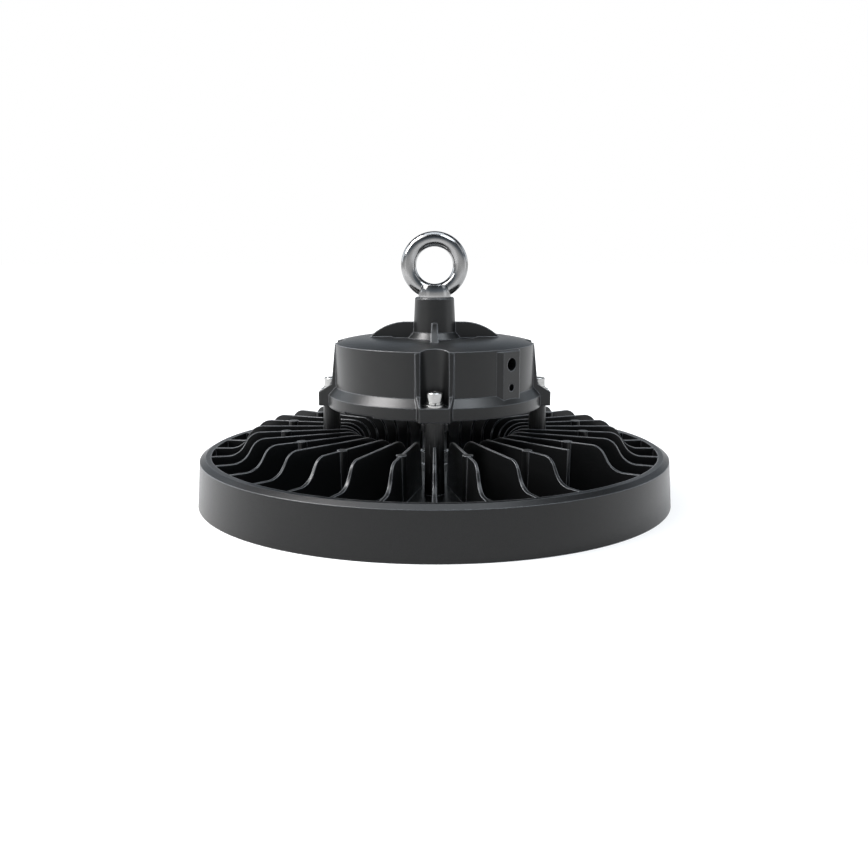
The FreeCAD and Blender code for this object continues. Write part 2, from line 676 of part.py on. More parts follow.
    # Bosses for the base plate's screws, webbed to the wall.
    boss_turn = f"{FULL_TURN} / dim.plate_screw_count / 2"
    boss = new_sketch(body, "plate_boss", plane="XY_Plane", shift=PLATE_TOP, turn=boss_turn)
    draw_circle(boss, PLATE_SCREW_CIRCLE, "0", "dim.plate_boss_radius")
    web = new_sketch(body, "plate_web", plane="XY_Plane", shift=PLATE_SEAT, turn=boss_turn)
    draw_box(web, PLATE_SCREW_CIRCLE, "-dim.plate_boss_radius / 2",
             f"{CAVITY_RADIUS} + dim.overshoot", "dim.plate_boss_radius / 2")
    web_height = "dim.plate_boss_height - dim.plate_seal_thickness"
    around(body, [pad(body, boss, "dim.plate_boss_height"), pad(body, web, web_height)],
           "dim.plate_screw_count")
    tap = new_sketch(body, "plate_tap", plane="XY_Plane", shift=PLATE_TOP, turn=boss_turn)
    draw_circle(tap, PLATE_SCREW_CIRCLE, "0", "dim.plate_screw_radius + dim.thread_gap")
    around(body, [pocket(body, tap, "dim.plate_screw_length", up=True)], "dim.plate_screw_count")

    # Cable and signal holes through the inlet pad.
    holes = new_sketch(body, "inlet_holes", turn="dim.inlet_angle - 90")
    draw_circle(holes, "0", "dim.cable_hole_height", "dim.cable_hole_radius")
    draw_circle(holes, "0", "dim.signal_hole_height", "dim.signal_hole_radius")
    pocket(body, holes, f"{INLET_PAD_REACH} + dim.overshoot")

    # A shallow pry notch in the foot of the band.
    notch = new_sketch(body, "notch", plane="XY_Plane", shift="dim.housing_base",
                       turn="dim.notch_angle")
    draw_box(notch, f"{BAND_RADIUS} - dim.flare_width", "-dim.notch_width / 2",
             f"{BAND_RADIUS} + dim.overshoot", "dim.notch_width / 2")
    pocket(body, notch, "dim.notch_height", up=True)

    # Drafted gussets brace the neck; one turned cut gives all four their curved crest.
    crest = f"({CROWN_TOP} + dim.rib_height)"
    rib = new_sketch(body, "rib_plan", plane="XY_Plane", shift=f"{CROWN_TOP} - dim.rib_root")
    rib_length = "dim.rib_height + dim.rib_root"
    rib_half = f"(dim.rib_thickness / 2 + ({rib_length}) * tan(dim.rib_draft))"
    draw_box(rib, "dim.eye_seal_radius", f"-{rib_half}", "dim.rib_reach", rib_half)
    around(body, [pad(body, rib, rib_length, taper="-dim.rib_draft")], "4")
    curve = new_sketch(body, "rib_crest")
    draw_outline(curve, ("dim.rib_crest_radius", crest),
                 ("dim.rib_shoulder_radius", f"{crest} - dim.rib_shoulder_drop", "via"),
                 ("dim.rib_reach", CROWN_TOP), ("dim.rib_reach + dim.overshoot", CROWN_TOP),
                 ("dim.rib_reach + dim.overshoot", f"{crest} + dim.overshoot"),
                 ("dim.rib_crest_radius", f"{crest} + dim.overshoot"))
    revolve(body, curve, kind="Groove")

    # The lifting eye's hole, with a seat for its seal.
    eye_hole = new_sketch(body, "eye_hole", plane="XY_Plane", shift=NECK_TOP)
    draw_circle(eye_hole, "0", "0", "dim.eye_shank_radius + dim.thread_gap")
    pocket(body, eye_hole, f"{NECK_TOP} - {CAVITY_TOP} + dim.overshoot")
    seal_seat = new_sketch(body, "seal_seat", plane="XY_Plane", shift=NECK_TOP)
    draw_circle(seal_seat, "0", "0", "dim.eye_seal_radius + dim.thread_gap")
    pocket(body, seal_seat, "dim.eye_seal_thickness")


# ---------------------------------------------------------------- base plate and what it carries
def make_base_plate():
    body = new_body("base_plate")
    disc = new_sketch(body, "disc", plane="XY_Plane", shift="dim.housing_base")
    draw_circle(disc, "0", "0", f"{PLATE_SEAT_RADIUS} - dim.drop_in_gap")
    draw_circle(disc, "0", "0", "dim.gland_thread_radius + dim.thread_gap")
    for x_side in ("", "-"):
        for y_side in ("", "-"):
            draw_circle(disc, f"{x_side}{DRIVER_FOOT_X}", f"{y_side}{DRIVER_FOOT_Y}",
                        "dim.driver_screw_radius + dim.thread_gap")
    pad(body, disc, "dim.plate_thickness")

    # Countersunk holes for the screws, opening downwards.
    shank = "(dim.plate_screw_radius + dim.hole_gap)"
    head = "(dim.plate_screw_head_radius + dim.thread_gap)"
    sink = turned_about(body, PLATE_SCREW_CIRCLE, f"{FULL_TURN} / dim.plate_screw_count / 2",
                        ("0", "dim.housing_base"), (head, "dim.housing_base"),
                        (shank, f"dim.housing_base + {head} - {shank}"), (shank, PLATE_TOP),
                        ("0", PLATE_TOP), kind="Groove")
    around(body, [sink], "dim.plate_screw_count")


def make_base_plate_fixings():
    seal_radius = f"({PLATE_SEAT_RADIUS} - dim.drop_in_gap)"
    washer("base_plate_seal", f"{seal_radius} - dim.plate_seal_width", seal_radius, PLATE_TOP,
           PLATE_SEAT)
    shank, head = "dim.plate_screw_radius", "dim.plate_screw_head_radius"
    tip = f"{PLATE_TOP} + dim.plate_screw_length - dim.plate_screw_spare"
    fastener_ring("base_plate_screws", PLATE_SCREW_CIRCLE, "dim.plate_screw_count",
                  f"{FULL_TURN} / dim.plate_screw_count / 2",
                  ("0", "dim.housing_base"), (head, "dim.housing_base"),
                  (shank, f"dim.housing_base + {head} - {shank}"),
                  (shank, tip), ("0", tip))


def make_led_driver():
    """A closed metal case on four feet."""
    body = new_body("led_driver")
    case = new_sketch(body, "case", plane="XY_Plane", shift=DRIVER_UNDER)
    half_length, half_width = "dim.driver_length / 2", "dim.driver_width / 2"
    draw_box(case, f"-{half_length}", f"-{half_width}", half_length, half_width)
    pad(body, case, "dim.driver_height")
    dress(body, "Fillet", "dim.driver_edge", lambda edge: abs(edge.tangentAt(0).z) > 0.99)
    feet = new_sketch(body, "feet", plane="XY_Plane", shift=PLATE_TOP)
    screws = new_sketch(body, "foot_holes", plane="XY_Plane", shift=PLATE_TOP)
    legs = new_sketch(body, "legs", plane="XY_Plane", shift=PLATE_TOP)
    for x_side in (1, -1):
        for y_side in (1, -1):
            x_out = f"{x_side} * {half_length}"
            x_in = f"{x_side} * ({half_length} - dim.driver_foot_length)"
            y_in = f"{y_side} * ({half_width} - dim.driver_foot_width / 2)"
            y_out = f"{y_side} * ({half_width} + dim.driver_foot_width / 2)"
            y_leg = f"{y_side} * ({half_width} - dim.driver_edge)"
            draw_outline(feet, (x_in, y_in), (x_out, y_in), (x_out, y_out), (x_in, y_out))
            draw_outline(legs, (x_in, y_in), (f"{x_side} * ({half_length} - dim.driver_edge)", y_in),
                         (f"{x_side} * ({half_length} - dim.driver_edge)", y_leg), (x_in, y_leg))
            draw_circle(screws, f"{x_side} * {DRIVER_FOOT_X}", f"{y_side} * {DRIVER_FOOT_Y}",
                        "dim.driver_screw_radius + dim.hole_gap")
    pad(body, legs, "dim.driver_lift + dim.overshoot")
    pad(body, feet, "dim.driver_foot_height")
    pocket(body, screws, "dim.driver_foot_height", up=True)


def make_driver_screws():
    body = new_body("driver_screws")
    for x_side in ("", "-"):
        for y_side in ("", "-"):
            shank = new_sketch(body, "shank", plane="XY_Plane", shift="dim.housing_base")
            place = (f"{x_side}{DRIVER_FOOT_X}", f"{y_side}{DRIVER_FOOT_Y}")
            draw_circle(shank, *place, "dim.driver_screw_radius")
            pad(body, shank, "dim.plate_thickness + dim.driver_foot_height")
            head = new_sketch(body, "head", plane="XY_Plane",
                              shift=f"{PLATE_TOP} + dim.driver_foot_height")
            draw_circle(head, *place, "dim.driver_screw_head_radius")
            pad(body, head, "dim.driver_screw_head_height")


def make_terminal_block():
    """A row of three screw terminals beside the driver."""
    body = new_body("terminal_block")
    base = new_sketch(body, "base", plane="XY_Plane", shift=PLATE_TOP)
    draw_box(base, "-dim.terminal_length / 2", "dim.terminal_distance", "dim.terminal_length / 2",
             "dim.terminal_distance + dim.terminal_depth")
    pad(body, base, "dim.terminal_height")
    ways = new_sketch(body, "ways", plane="XY_Plane", shift=f"{PLATE_TOP} + dim.terminal_height")
    for way in (-1, 0, 1):
        draw_circle(ways, f"{way} * dim.terminal_length / 3",
                    "dim.terminal_distance + dim.terminal_depth / 2", "dim.terminal_bore_radius")
    pocket(body, ways, "dim.terminal_height / 2")


# ---------------------------------------------------------------- screws that hold the housing
def make_housing_fasteners():
    head_top = f"({HEAD_SEAT} + dim.screw_head_height)"
    tip = "dim.housing_base - dim.screw_reach"
    edge = "dim.screw_head_edge"
    body = new_body("housing_screws")
    screw = turned_about(body, SCREW_CIRCLE, "0",
                         ("0", tip), ("dim.screw_radius", tip), ("dim.screw_radius", HEAD_SEAT),
                         ("dim.screw_head_radius", HEAD_SEAT),
                         ("dim.screw_head_radius", f"{head_top} - {edge}"),
                         (f"dim.screw_head_radius - {edge}", head_top), ("0", head_top))
    socket = new_sketch(body, "socket", plane="XY_Plane", shift=head_top)
    draw_hexagon(socket, SCREW_CIRCLE, "0", "dim.screw_socket_radius")
    around(body, [screw, pocket(body, socket, "dim.screw_socket_depth")], "4")

    bore = "dim.screw_radius + dim.hole_gap / 2"
    body = new_body("spring_washers")
    ring = turned_about(body, SCREW_CIRCLE, "0", (bore, WASHER_TOP),
                        ("dim.spring_washer_radius", WASHER_TOP),
                        ("dim.spring_washer_radius", HEAD_SEAT), (bore, HEAD_SEAT))
    slit = new_sketch(body, "slit", plane="XY_Plane", shift=WASHER_TOP)
    draw_box(slit, SCREW_CIRCLE, "0",
             f"{SCREW_CIRCLE} + dim.spring_washer_radius + dim.overshoot", "dim.spring_washer_slit")
    around(body, [ring, pocket(body, slit, "dim.spring_washer_thickness", up=True)], "4")
    fastener_ring("flat_washers", SCREW_CIRCLE, "4", "0", (bore, SCREW_SEAT),
                  ("dim.flat_washer_radius", SCREW_SEAT), ("dim.flat_washer_radius", WASHER_TOP),
                  (bore, WASHER_TOP))


# ---------------------------------------------------------------- lifting eye
def make_lifting_eye():
    washer_foot = f"({CAVITY_TOP} - dim.eye_washer_thickness)"
    nut_foot = f"({washer_foot} - dim.eye_nut_height)"
    body = new_body("eye_bolt")
    stem = new_sketch(body, "stem")
    draw_outline(stem, ("0", f"{nut_foot} - dim.eye_shank_spare"),
                 ("dim.eye_shank_radius", f"{nut_foot} - dim.eye_shank_spare"),
                 ("dim.eye_shank_radius", NECK_TOP), ("dim.eye_collar_radius", NECK_TOP),
                 ("dim.eye_collar_bulge_radius", f"{NECK_TOP} + dim.eye_collar_bulge_height", "via"),
                 ("dim.eye_collar_top_radius", f"{NECK_TOP} + dim.eye_collar_height"),
                 ("0", f"{NECK_TOP} + dim.eye_collar_height"))
    revolve(body, stem)
    ring = new_sketch(body, "ring", plane="YZ_Plane")
    eye_centre = f"({NECK_TOP} + dim.eye_height)"
    draw_circle(ring, "0", f"{eye_centre} + dim.eye_ring_radius", "dim.eye_tube_radius")
    line = ring.addGeometry(Part.LineSegment(
        FreeCAD.Vector(0, ring.evalExpression(eye_centre), 0),
        FreeCAD.Vector(10, ring.evalExpression(eye_centre), 0)), True)
    ring.addConstraint(Sketcher.Constraint("Horizontal", line))
    place_point(ring, line, 1, "0", eye_centre)
    revolve(body, ring, "Axis0")
    # The collar's underside is turned flat, out to beyond the ring.
    facing = new_sketch(body, "facing")
    draw_box(facing, "dim.eye_shank_radius", f"{NECK_TOP} - dim.eye_tube_radius",
             "dim.eye_ring_radius + dim.eye_tube_radius", NECK_TOP)
    revolve(body, facing, kind="Groove")

    washer("eye_bolt_seal", "dim.eye_shank_radius + dim.thread_gap", "dim.eye_seal_radius",
           f"{NECK_TOP} - dim.eye_seal_thickness", NECK_TOP)
    washer("eye_bolt_washer", "dim.eye_shank_radius + dim.hole_gap / 2", "dim.eye_washer_radius",
           washer_foot, CAVITY_TOP)
    hex_nut("eye_bolt_nut", "dim.eye_nut_radius", "dim.eye_shank_radius + dim.thread_gap",
            nut_foot, "dim.eye_nut_height")


def hex_nut(name, radius, bore, bottom, height):
    body = new_body(name)
    section = new_sketch(body, "hexagon", plane="XY_Plane", shift=bottom)
    draw_hexagon(section, "0", "0", radius)
    draw_circle(section, "0", "0", bore)
    pad(body, section, height)
    return body


# ---------------------------------------------------------------- glands and lead
def make_lower_gland():
    """Screwed through the floor: hexagon base, dome nut, seal insert and lock nut."""
    lock_foot = f"({FLOOR_UNDER} - dim.lock_nut_height)"
    thread, bore = "dim.gland_thread_radius", "dim.gland_bore_radius"
    stem_top = f"({GLAND_NUT_FOOT} + dim.gland_stem_height)"
    body = new_body("lower_gland_body")
    stem = new_sketch(body, "stem")
    draw_outline(stem, (bore, lock_foot), (thread, lock_foot), (thread, stem_top),
                 ("dim.gland_seal_radius", stem_top), ("dim.gland_seal_radius", GLAND_NUT_FOOT),
                 (bore, GLAND_NUT_FOOT))
    revolve(body, stem)
    flange = new_sketch(body, "flange", plane="XY_Plane", shift="dim.floor_top")
    draw_hexagon(flange, "0", "0", "dim.gland_base_radius")
    draw_circle(flange, "0", "0", f"({thread} + {bore}) / 2")
    pad(body, flange, "dim.gland_base_height")

    hex_nut("lower_lock_nut", "dim.lock_nut_radius", f"{thread} + dim.thread_gap", lock_foot,
            "dim.lock_nut_height")

    # The dome nut is a hexagon turned down to a dome.
    nut = new_body("lower_gland_nut")
    outside = new_sketch(nut, "hexagon", plane="XY_Plane", shift=GLAND_NUT_FOOT)
    draw_hexagon(outside, "0", "0", "dim.gland_nut_radius")
    pad(nut, outside, "dim.gland_nut_height")
    dome = new_sketch(nut, "dome")
    shoulder = f"({CONDUIT_FOOT} - dim.gland_dome_height)"
    clear = "dim.gland_nut_radius + dim.overshoot"
    draw_outline(dome, ("dim.gland_dome_radius", CONDUIT_FOOT),
                 ("(dim.gland_nut_radius * 2 + dim.gland_dome_radius) / 3",
                  f"({shoulder} + {CONDUIT_FOOT} * 2) / 3", "via"),
                 ("dim.gland_nut_radius", shoulder),
                 (clear, shoulder), (clear, f"{CONDUIT_FOOT} + dim.overshoot"),
                 ("dim.gland_dome_radius", f"{CONDUIT_FOOT} + dim.overshoot"))
    revolve(nut, dome, kind="Groove")
    inside = new_sketch(nut, "thread_bore", plane="XY_Plane", shift=GLAND_NUT_FOOT)
    draw_circle(inside, "0", "0", f"{thread} + dim.thread_gap")
    pocket(nut, inside, "dim.gland_stem_height + dim.overshoot", up=True)
    mouth = new_sketch(nut, "mouth", plane="XY_Plane", shift=GLAND_NUT_FOOT)
    draw_circle(mouth, "0", "0", bore)
    pocket(nut, mouth, "dim.gland_nut_height", up=True)

    washer("lower_gland_seal", "dim.lead_radius + dim.thread_gap",
           "dim.gland_seal_radius - dim.thread_gap", GLAND_NUT_FOOT, stem_top)


def make_conduit_and_upper_gland():
    """A short metal tube guards the lead up to the gland under the base plate."""
    tube_bore = "dim.gland_bore_radius"
    washer("lead_conduit", tube_bore, "dim.conduit_radius", CONDUIT_FOOT, CONDUIT_TOP)
    turned_part("upper_gland_nut",
                (tube_bore, CONDUIT_TOP), ("dim.conduit_radius + dim.thread_gap", CONDUIT_TOP),
                ("dim.conduit_radius + dim.thread_gap", UPPER_NUT_FOOT),
                ("dim.upper_nut_radius", UPPER_NUT_FOOT), ("dim.upper_nut_radius", UPPER_NUT_TOP),
                (tube_bore, UPPER_NUT_TOP))
    thread = "dim.gland_thread_radius"
    nut_top = f"({PLATE_TOP} + dim.lock_nut_height)"
    body = new_body("upper_gland_body")
    stem = new_sketch(body, "stem")
    neck = "dim.upper_nut_radius - dim.upper_neck_inset"
    neck_top = f"{UPPER_NUT_TOP} + dim.upper_neck_height"
    draw_outline(stem, (tube_bore, UPPER_NUT_TOP), (neck, UPPER_NUT_TOP), (neck, neck_top),
                 ("dim.upper_base_radius", f"{neck_top} + dim.upper_cone_height"),
                 ("dim.upper_base_radius", "dim.housing_base"), (thread, "dim.housing_base"),
                 (thread, nut_top), (tube_bore, nut_top))
    revolve(body, stem)
    hex_nut("upper_lock_nut", "dim.lock_nut_radius", f"{thread} + dim.thread_gap", PLATE_TOP,
            "dim.lock_nut_height")


def make_lead():
    """The driver's lead drops down the glands; its two cores turn off to the board's connector."""
    turned_part("driver_lead", ("0", LEAD_END), ("dim.lead_radius", LEAD_END),
                ("dim.lead_radius", DRIVER_UNDER), ("0", DRIVER_UNDER))
    body = new_body("lead_cores")
    run_height = f"({FLOOR_UNDER} - dim.lock_nut_height - dim.core_clearance - dim.core_radius)"
    bend = "dim.core_bend"
    for side in ("", "-"):
        offset = f"{side}dim.core_spacing / 2"
        path = new_sketch(body, "path", shift=f"-1 * ({offset})")
        draw_path(path, ("0", LEAD_END), ("0", f"{run_height} + {bend}"),
                  (f"{bend} * (1 - cos(45))", f"{run_height} + {bend} * (1 - cos(45))", "via"),
                  (bend, run_height), ("dim.connector_distance", run_height))
        section = new_sketch(body, "section", plane="XY_Plane", shift=LEAD_END)
        draw_circle(section, "0", offset, "dim.core_radius")
        doc.recompute()
        core = new_feature(body, "AdditivePipe", section, "core")
        core.Spine = (path, [f"Edge{i + 1}" for i in range(3)])


# ---------------------------------------------------------------- light engine and lens
def make_light_engine():
    body = new_body("led_board")
    disc = new_sketch(body, "disc", plane="XY_Plane", shift=BOARD_UNDER)
    draw_circle(disc, "0", "0", BOARD_RADIUS)
    draw_circle(disc, "0", "0", "dim.board_hole_radius")
    for circle, turn in floor_screw_places():
        for twin in ("1", "-1"):
            draw_circle(disc, f"{twin} * {circle} * cos({turn})", f"{twin} * {circle} * sin({turn})",
                        "dim.floor_screw_radius + dim.hole_gap")
    pad(body, disc, "dim.board_thickness")

    body = new_body("led_chips")
    half = "dim.chip_size / 2"
    for ring, count in enumerate(CHIP_RING_COUNTS):
        circle = f"(dim.chip_ring_inner + {ring} * {CHIP_RING_PITCH})"
        chip = new_sketch(body, "chip", plane="XY_Plane", shift=BOARD_UNDER)
        draw_box(chip, f"{circle} - {half}", f"-{half}", f"{circle} + {half}", half)
        around(body, [pad(body, chip, "dim.chip_height", down=True)], str(count))

    body = new_body("board_connector")
    block = new_sketch(body, "block", plane="XY_Plane", shift=BOARD_UNDER)
    draw_box(block, "dim.connector_distance", "-dim.connector_width / 2",
             "dim.connector_distance + dim.connector_length", "dim.connector_width / 2")
    pad(body, block, "dim.connector_height", down=True)


def make_floor_screws():
    head_seat = "(dim.floor_top + dim.floor_boss_height)"
    nut_foot = f"({BOARD_UNDER} - dim.floor_nut_height)"
    screws, nuts = new_body("board_screws"), new_body("board_nuts")
    shafts, rings = [], []
    bore = "dim.floor_screw_radius + dim.thread_gap"
    for circle, turn in floor_screw_places():
        shafts.append(turned_about(screws, circle, turn, *screw_outline(
            "dim.floor_screw_radius", "dim.floor_screw_head_radius", nut_foot, head_seat,
            f"{head_seat} + dim.floor_screw_head_height")))
        rings.append(turned_about(nuts, circle, turn, (bore, nut_foot),
                                  ("dim.floor_nut_radius", nut_foot),
                                  ("dim.floor_nut_radius", BOARD_UNDER), (bore, BOARD_UNDER)))
    around(screws, shafts, "2")
    around(nuts, rings, "2")


def make_lens():
    ridges = []
    for ring in range(len(CHIP_RING_COUNTS)):
        middle = f"(dim.chip_ring_inner + {ring} * {CHIP_RING_PITCH})"
        ridges += [(f"{middle} - dim.lens_ridge_width / 2", LENS_UNDER),
                   (middle, f"{LENS_UNDER} - dim.lens_ridge_height", "via"),
                   (f"{middle} + dim.lens_ridge_width / 2", LENS_UNDER)]
    turned_part("lens_plate", ("0", LENS_UNDER), *ridges, (LENS_RADIUS, LENS_UNDER),
                (LENS_RADIUS, LENS_TOP), ("0", LENS_TOP))
    washer("lens_seal", f"{LENS_RADIUS} - dim.lens_seal_width", LENS_RADIUS, LENS_TOP, LENS_SEAT)

    body = new_body("lens_ring")
    ring = new_sketch(body, "ring", plane="XY_Plane", shift="dim.ring_bottom")
    draw_circle(ring, "0", "0", "dim.skirt_radius - dim.skirt_wall - dim.drop_in_gap")
    draw_circle(ring, "0", "0", f"{LENS_RADIUS} - dim.ring_overlap")
    pad(body, ring, "dim.ring_thickness")
    hole = new_sketch(body, "hole", plane="XY_Plane", shift="dim.ring_bottom")
    draw_circle(hole, LENS_SCREW_CIRCLE, "0", "dim.plate_screw_radius + dim.hole_gap")
    around(body, [pocket(body, hole, "dim.ring_thickness", up=True)], "dim.lens_screw_count")

    fastener_ring("lens_screws", LENS_SCREW_CIRCLE, "dim.lens_screw_count", "0",
                  *screw_outline("dim.plate_screw_radius", "dim.plate_screw_head_radius",
                                 f"{LENS_UNDER} + dim.lens_screw_depth", "dim.ring_bottom",
                                 "dim.ring_bottom - dim.lens_screw_head_height"))


# ---------------------------------------------------------------- check and write
def check_model():
    for item in doc.Objects:
        if "Invalid" in item.State or "Error" in item.State:
            raise RuntimeError(f"{item.Name} failed: {item.State}")
        if item.TypeId in ("PartDesign::Pocket", "PartDesign::Groove"):
            if item.Shape.Volume > item.BaseFeature.Shape.Volume - 1e-3:
                raise RuntimeError(f"{item.Name} cuts nothing")
    bodies = [item for item in doc.Objects if item.TypeId == "PartDesign::Body"]
    for body in bodies:
        if body.Shape.isNull() or not body.Shape.isValid():
            raise RuntimeError(f"{body.Label} has no valid shape")
    return bodies


def main():
    make_heat_sink()
    make_driver_housing()
    make_base_plate()
    make_base_plate_fixings()
    make_led_driver()
    make_driver_screws()
    make_terminal_block()
    make_housing_fasteners()
    make_lifting_eye()
    make_lower_gland()
    make_conduit_and_upper_gland()
    make_lead()
    make_light_engine()
    make_floor_screws()
    make_lens()
    doc.recompute()
    bodies = check_model()
    os.makedirs("parts", exist_ok=True)
    for body in bodies:
        body.Shape.exportStep(f"parts/{body.Label}.step")
        box = body.Shape.BoundBox
        print(f"{body.Label:20s} {len(body.Shape.Solids):3d} solids {body.Shape.Volume:10.0f} mm3"
              f"  z {box.ZMin:7.2f} to {box.ZMax:7.2f}")


main()
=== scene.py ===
import math

import bpy
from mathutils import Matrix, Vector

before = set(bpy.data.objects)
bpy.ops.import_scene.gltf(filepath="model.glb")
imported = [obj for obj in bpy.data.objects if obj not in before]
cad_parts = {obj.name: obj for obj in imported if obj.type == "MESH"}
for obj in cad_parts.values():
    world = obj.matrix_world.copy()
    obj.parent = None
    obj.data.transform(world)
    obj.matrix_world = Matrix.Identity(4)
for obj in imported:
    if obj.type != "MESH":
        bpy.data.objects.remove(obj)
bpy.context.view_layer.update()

MM = 0.001
WHITE = (1, 1, 1, 1)
NOISE_LOW, NOISE_HIGH = 0.3, 0.7  # where most of a noise texture's values lie
BEVEL_SAMPLES = 6
HIGHLIGHT_START, HIGHLIGHT_FULL = 0.995, 0.88  # cosines between the rounded and the flat normal, where the painted edge highlight starts and where it is full

# ---------------------------------------------------------------- materials


def add_node(tree, kind, inputs=None, **settings):
    """A shader node with its settings, its plain input values and its links."""
    node = tree.nodes.new(kind)
    for name, value in settings.items():
        setattr(node, name, value)
    for name, value in (inputs or {}).items():
        if isinstance(value, bpy.types.NodeSocket):
            tree.links.new(value, node.inputs[name])
        else:
            node.inputs[name].default_value = value
    return node


def noise(tree, place, size, stretch=(1, 1, 1), detail=3.0):
    """Noise from 0 to 1 whose lumps are about `size` across, drawn out along an axis by `stretch`."""
    scale = [1 / (size * s) for s in stretch]
    spread = add_node(tree, "ShaderNodeMapping", {"Vector": place, "Scale": scale})
    return add_node(
        tree,
        "ShaderNodeTexNoise",
        {"Vector": spread.outputs["Vector"], "Scale": 1.0, "Detail": detail},
    ).outputs["Fac"]


def between(tree, factor, low, high, start=NOISE_LOW, end=NOISE_HIGH):
    """Spreads the part of a value from start to end over the range from low to high."""
    return add_node(
        tree,
        "ShaderNodeMapRange",
        {"Value": factor, "From Min": start, "From Max": end, "To Min": low, "To Max": high},
    ).outputs["Result"]


def seen_ray(tree, kinds):
    """1 for a ray of any of the given kinds, else 0."""
    path = add_node(tree, "ShaderNodeLightPath")
    seen = path.outputs[kinds[0]]
    for kind in kinds[1:]:
        seen = add_node(
            tree,
            "ShaderNodeMath",
            {0: seen, 1: path.outputs[kind]},
            operation="MAXIMUM",
        ).outputs["Value"]
    return seen


def surface(name, colour, roughness, metal=0.0, mottle=0.12, mottle_size=18 * MM, grain=0.5 * MM,
            grain_depth=0.01 * MM, grain_stretch=(1, 1, 1), rough_spread=0.06, edge=0.0,
            edge_highlight_colour=None, **extra):
    """A finish whose colour, sheen and relief vary by noise, with its edges rounded in shading over
    `edge` and, where `edge_highlight_colour` is given, a painted highlight there: the base colour
    turns lighter along the edges, standing in for the light that rounded edges catch."""
    material = bpy.data.materials.new(name)
    material.use_nodes = True
    tree = material.node_tree
    tree.nodes.clear()
    place = add_node(tree, "ShaderNodeTexCoord").outputs["Object"]
    patches = noise(tree, place, mottle_size)
    fine = noise(tree, place, grain, grain_stretch)
    tint = add_node(
        tree,
        "ShaderNodeMix",
        {"Factor": between(tree, patches, 0, 1)},
        data_type="RGBA",
    )
    tint.inputs["A"].default_value = [c * (1 - mottle) for c in colour] + [1]
    tint.inputs["B"].default_value = [min(1, c * (1 + mottle)) for c in colour] + [1]
    shade = tint.outputs["Result"]
    relief = add_node(
        tree,
        "ShaderNodeBump",
        {"Height": fine, "Distance": grain_depth, "Strength": 1.0},
    )
    if edge:
        rounded = add_node(tree, "ShaderNodeBevel", {"Radius": edge}, samples=BEVEL_SAMPLES)
        tree.links.new(rounded.outputs["Normal"], relief.inputs["Normal"])
    # Painted highlight: the base colour turns lighter along edges, standing in for the light that
    # rounded edges catch.
    if edge_highlight_colour:
        flat = add_node(tree, "ShaderNodeNewGeometry").outputs["True Normal"]
        turned = add_node(
            tree,
            "ShaderNodeVectorMath",
            {0: rounded.outputs["Normal"], 1: flat},
            operation="DOT_PRODUCT",
        )
        highlight_mask = between(tree, turned.outputs["Value"], 0, 1, HIGHLIGHT_START, HIGHLIGHT_FULL)
        painted_highlight = add_node(tree, "ShaderNodeMix", {"Factor": highlight_mask, "A": shade}, data_type="RGBA")
        painted_highlight.inputs["B"].default_value = [*edge_highlight_colour, 1]
        shade = painted_highlight.outputs["Result"]
    shader = add_node(
        tree,
        "ShaderNodeBsdfPrincipled",
        {
            "Base Color": shade,
            "Metallic": metal,
            "Roughness": between(tree, fine, roughness - rough_spread, roughness + rough_spread),
            "Normal": relief.outputs["Normal"],
            **extra,
        },
    )
    output = add_node(tree, "ShaderNodeOutputMaterial")
    tree.links.new(shader.outputs["BSDF"], output.inputs["Surface"])
    return material


# Both black coats carry a painted highlight along their edges, a lighter colour that stands for light
# caught by rounded edges.
black_coat = surface("black_coat", (0.0095, 0.0098, 0.0099), 0.34, grain=0.35 * MM,
                     grain_depth=0.003 * MM, edge=1.1 * MM, edge_highlight_colour=(0.15, 0.155, 0.163),
                     **{"Specular IOR Level": 0.32})
# The heat sink's coat is the same black coat painted darker, as painted shade between the fins, with
# a lighter painted edge highlight.
fin_coat_painted_shade = surface("fin_coat_painted_shade", (0.004, 0.0042, 0.0044), 0.32, grain=0.35 * MM,
                   grain_depth=0.003 * MM, edge=0.9 * MM, edge_highlight_colour=(0.17, 0.176, 0.185),
                   **{"Specular IOR Level": 0.32})
gland_coat = surface("gland_coat", (0.03, 0.031, 0.033), 0.34, metal=0.4, grain=0.2 * MM,
                     grain_depth=0.002 * MM, edge=0.3 * MM)
polished = surface("polished_steel", (0.25, 0.25, 0.25), 0.17, metal=1.0, mottle=0.06,
                   mottle_size=6 * MM, grain=0.8 * MM, grain_depth=0.0004 * MM,
                   rough_spread=0.04, edge=0.3 * MM)
zinc = surface("zinc_plated_steel", (0.33, 0.33, 0.325), 0.24, metal=1.0, mottle=0.1,
               mottle_size=3 * MM, grain=0.15 * MM, grain_depth=0.002 * MM, edge=0.25 * MM)
nickel = surface("nickel_plated_brass", (0.55, 0.55, 0.545), 0.17, metal=1.0, mottle=0.08,
                 mottle_size=4 * MM, grain=0.2 * MM, grain_depth=0.001 * MM, edge=0.25 * MM)
bare_aluminium = surface("bare_aluminium", (0.62, 0.63, 0.64), 0.38, metal=1.0, mottle=0.06,
                         grain=0.2 * MM, grain_depth=0.002 * MM, grain_stretch=(12, 1, 1))
rubber = surface("silicone_rubber", (0.32, 0.32, 0.31), 0.55, grain=0.3 * MM,
                 grain_depth=0.006 * MM)
black_plastic = surface("black_moulding", (0.02, 0.02, 0.021), 0.45, grain=0.25 * MM,
                        grain_depth=0.006 * MM)
white_plastic = surface("white_moulding", (0.75, 0.75, 0.72), 0.4, mottle=0.04,
                        grain=0.4 * MM, grain_depth=0.004 * MM)
jacket = surface("cable_jacket", (0.025, 0.025, 0.026), 0.5, grain=0.3 * MM,
                 grain_depth=0.01 * MM)
